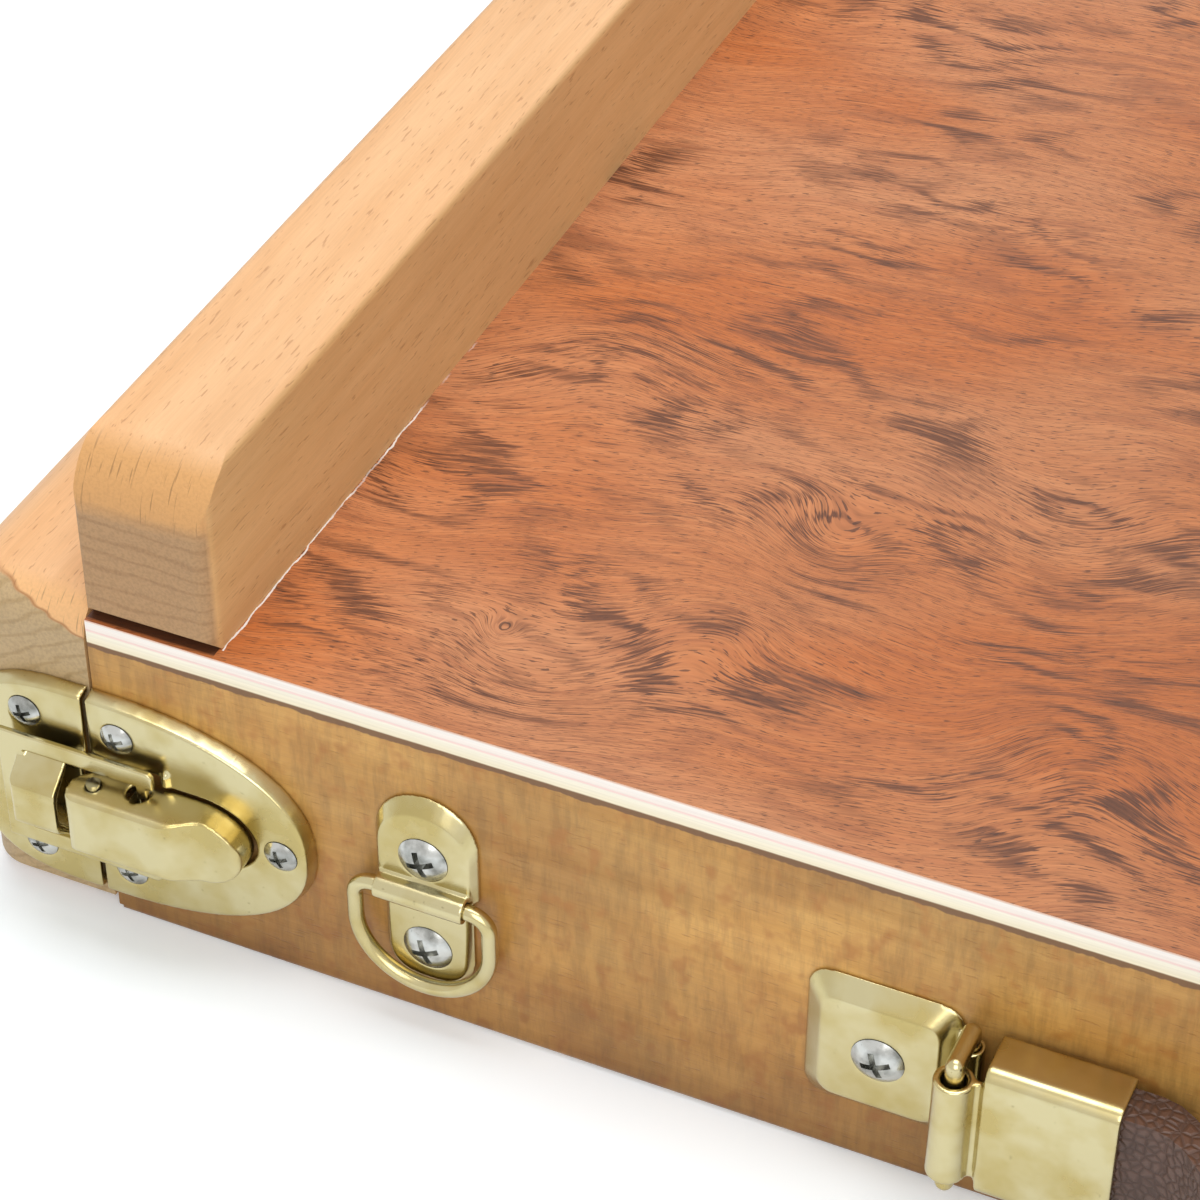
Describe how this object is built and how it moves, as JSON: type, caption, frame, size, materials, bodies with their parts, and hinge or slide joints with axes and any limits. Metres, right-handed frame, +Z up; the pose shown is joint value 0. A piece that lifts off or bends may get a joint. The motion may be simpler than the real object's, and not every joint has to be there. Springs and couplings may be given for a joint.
{
  "type": "art supply box",
  "caption": "Flat wooden art supply box with a figured working panel, a canvas ledge, an end drawer held by draw latches, strap rings and a carrying handle.",
  "frame": {"origin": "centre of the case's bottom face, on the surface that the box lies on", "axes": "+X along the case away from the drawer face, +Y from the handle side to the back, +Z up"},
  "size_m": [0.3239, 0.2856, 0.0658],
  "materials": {
    "beech": "clear satin lacquer",
    "side_wood": "honey-stained satin lacquer",
    "inner_wood": "bare planed",
    "plywood": "bare sanded",
    "veneer": "satin lacquer over figured veneer",
    "brass_plate": "pale bright plating",
    "nickel": "nickel plated",
    "leather": "dark brown, satin"
  },
  "bodies": {
    "case": {"front_side": "side_wood", "back_side": "side_wood", "end_rail": "side_wood", "bottom_panel": "plywood", "top_panel": "plywood", "top_veneer": "veneer", "batten": "beech", "mouth_rail": "inner_wood", "stop_rail": "inner_wood", "runners": "inner_wood", "front_latch_base": "brass_plate", "front_lever_pin": "nickel", "front_base_screws": "nickel", "back_latch_base": "brass_plate", "back_lever_pin": "nickel", "back_base_screws": "nickel", "left_ring_bracket": "brass_plate", "left_ring_screws": "nickel", "right_ring_bracket": "brass_plate", "right_ring_screws": "nickel", "left_handle_plate": "brass_plate", "right_handle_plate": "brass_plate", "handle_screws": "nickel"},
    "drawer": {"drawer_front": "beech", "drawer_side_front": "inner_wood", "drawer_side_back": "inner_wood", "drawer_back": "inner_wood", "drawer_bottom": "plywood", "long_divider": "inner_wood", "cross_dividers": "inner_wood", "front_catch_plate": "brass_plate", "front_catch_screws": "nickel", "back_catch_plate": "brass_plate", "back_catch_screws": "nickel"},
    "front_lever": {"front_latch_lever": "brass_plate"},
    "front_link": {"front_latch_link": "brass_plate"},
    "back_lever": {"back_latch_lever": "brass_plate"},
    "back_link": {"back_latch_link": "brass_plate"},
    "left_ring": {"left_strap_ring": "brass_plate"},
    "right_ring": {"right_strap_ring": "brass_plate"},
    "left_wire": {"left_wire_link": "brass_plate"},
    "right_wire": {"right_wire_link": "brass_plate"},
    "handle": {"left_ferrule": "brass_plate", "right_ferrule": "brass_plate", "grip": "leather"}
  },
  "joints": [
    {"name": "drawer_slide", "type": "slide", "parent": "case", "child": "drawer", "axis": [-1, 0, 0], "range_m": [0, 0.218]},
    {"name": "front_latch", "type": "hinge", "parent": "case", "child": "front_lever", "pos_m": [-0.1514, -0.1319, 0.0192], "axis": [0, 0, -1], "range_deg": [0, 120]},
    {"name": "front_claw", "type": "hinge", "parent": "front_lever", "child": "front_link", "pos_m": [-0.1462, -0.131, 0.0192], "axis": [0, 0, -1], "range_deg": [-121, 1]},
    {"name": "back_latch", "type": "hinge", "parent": "case", "child": "back_lever", "pos_m": [-0.1514, 0.1319, 0.0192], "axis": [0, 0, 1], "range_deg": [0, 120]},
    {"name": "back_claw", "type": "hinge", "parent": "back_lever", "child": "back_link", "pos_m": [-0.1462, 0.131, 0.0192], "axis": [0, 0, 1], "range_deg": [-121, 1]},
    {"name": "left_ring_swing", "type": "hinge", "parent": "case", "child": "left_ring", "pos_m": [-0.1129, -0.1297, 0.0202], "axis": [-1, 0, 0], "range_deg": [0, 165]},
    {"name": "right_ring_swing", "type": "hinge", "parent": "case", "child": "right_ring", "pos_m": [0.1129, -0.1297, 0.0202], "axis": [-1, 0, 0], "range_deg": [0, 165]},
    {"name": "handle_swing", "type": "hinge", "parent": "case", "child": "left_wire", "pos_m": [-0.0516, -0.1296, 0.0177], "axis": [0, 0, 1], "range_deg": [-9, 9]},
    {"name": "handle_follow", "type": "hinge", "parent": "left_wire", "child": "handle", "pos_m": [-0.0516, -0.1345, 0.0177], "axis": [0, 0, 1], "range_deg": [-10, 10]},
    {"name": "right_link_follow", "type": "hinge", "parent": "case", "child": "right_wire", "pos_m": [0.0516, -0.1296, 0.0177], "axis": [0, 0, 1], "range_deg": [-10, 10]}
  ],
  "couplings": [
    {"joint": "front_claw", "follows": "front_latch", "ratio": -1},
    {"joint": "back_claw", "follows": "back_latch", "ratio": -1},
    {"joint": "handle_follow", "follows": "handle_swing", "ratio": -1},
    {"joint": "right_link_follow", "follows": "handle_swing", "ratio": 1}
  ]
}
